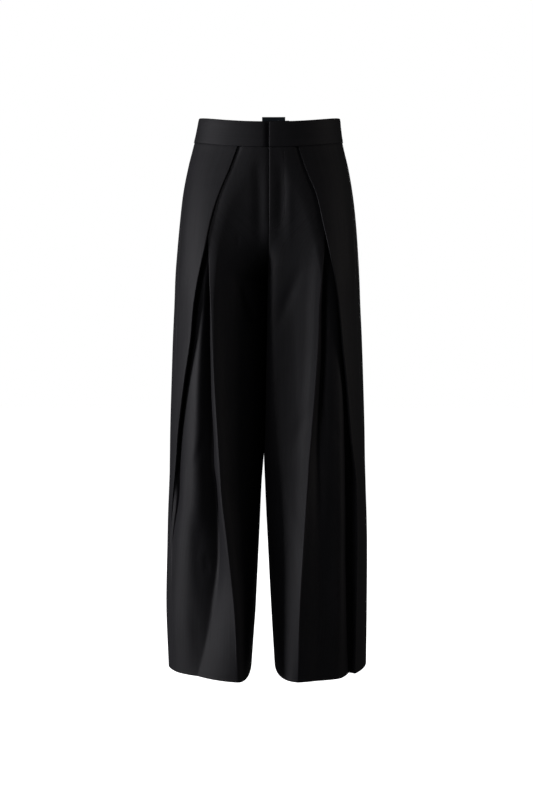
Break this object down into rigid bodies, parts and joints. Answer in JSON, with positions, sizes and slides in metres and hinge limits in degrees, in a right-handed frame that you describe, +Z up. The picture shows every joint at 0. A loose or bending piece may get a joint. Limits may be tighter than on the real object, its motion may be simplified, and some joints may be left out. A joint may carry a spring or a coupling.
{
  "type": "pleated wide-leg trousers",
  "caption": "Wide-leg trousers in dark suiting with a deep inverted pleat in each front, a plain waistband and a fly, hollow as when worn",
  "frame": {"origin": "centre of the waist opening, level with the waistband's top edge at the side seams", "axes": "+Z up along the garment, -Y the front with the fly, -X the wearer's right leg"},
  "size_m": [0.3788, 0.2573, 1.03],
  "materials": {
    "suiting": "smooth near-black suiting with a slight sheen",
    "label": "bare woven label, dark blue-green",
    "zip": "black tape",
    "hook": "plain pressed steel"
  },
  "bodies": {
    "root": {"front_right": "suiting", "front_left": "suiting", "back_right": "suiting", "back_left": "suiting", "waistband_front_left": "suiting", "waistband_front_right": "suiting", "waistband_back": "suiting", "fly_zip": "zip", "fly_shield": "suiting", "waist_hook": "hook", "back_label": "label"}
  },
  "joints": []
}
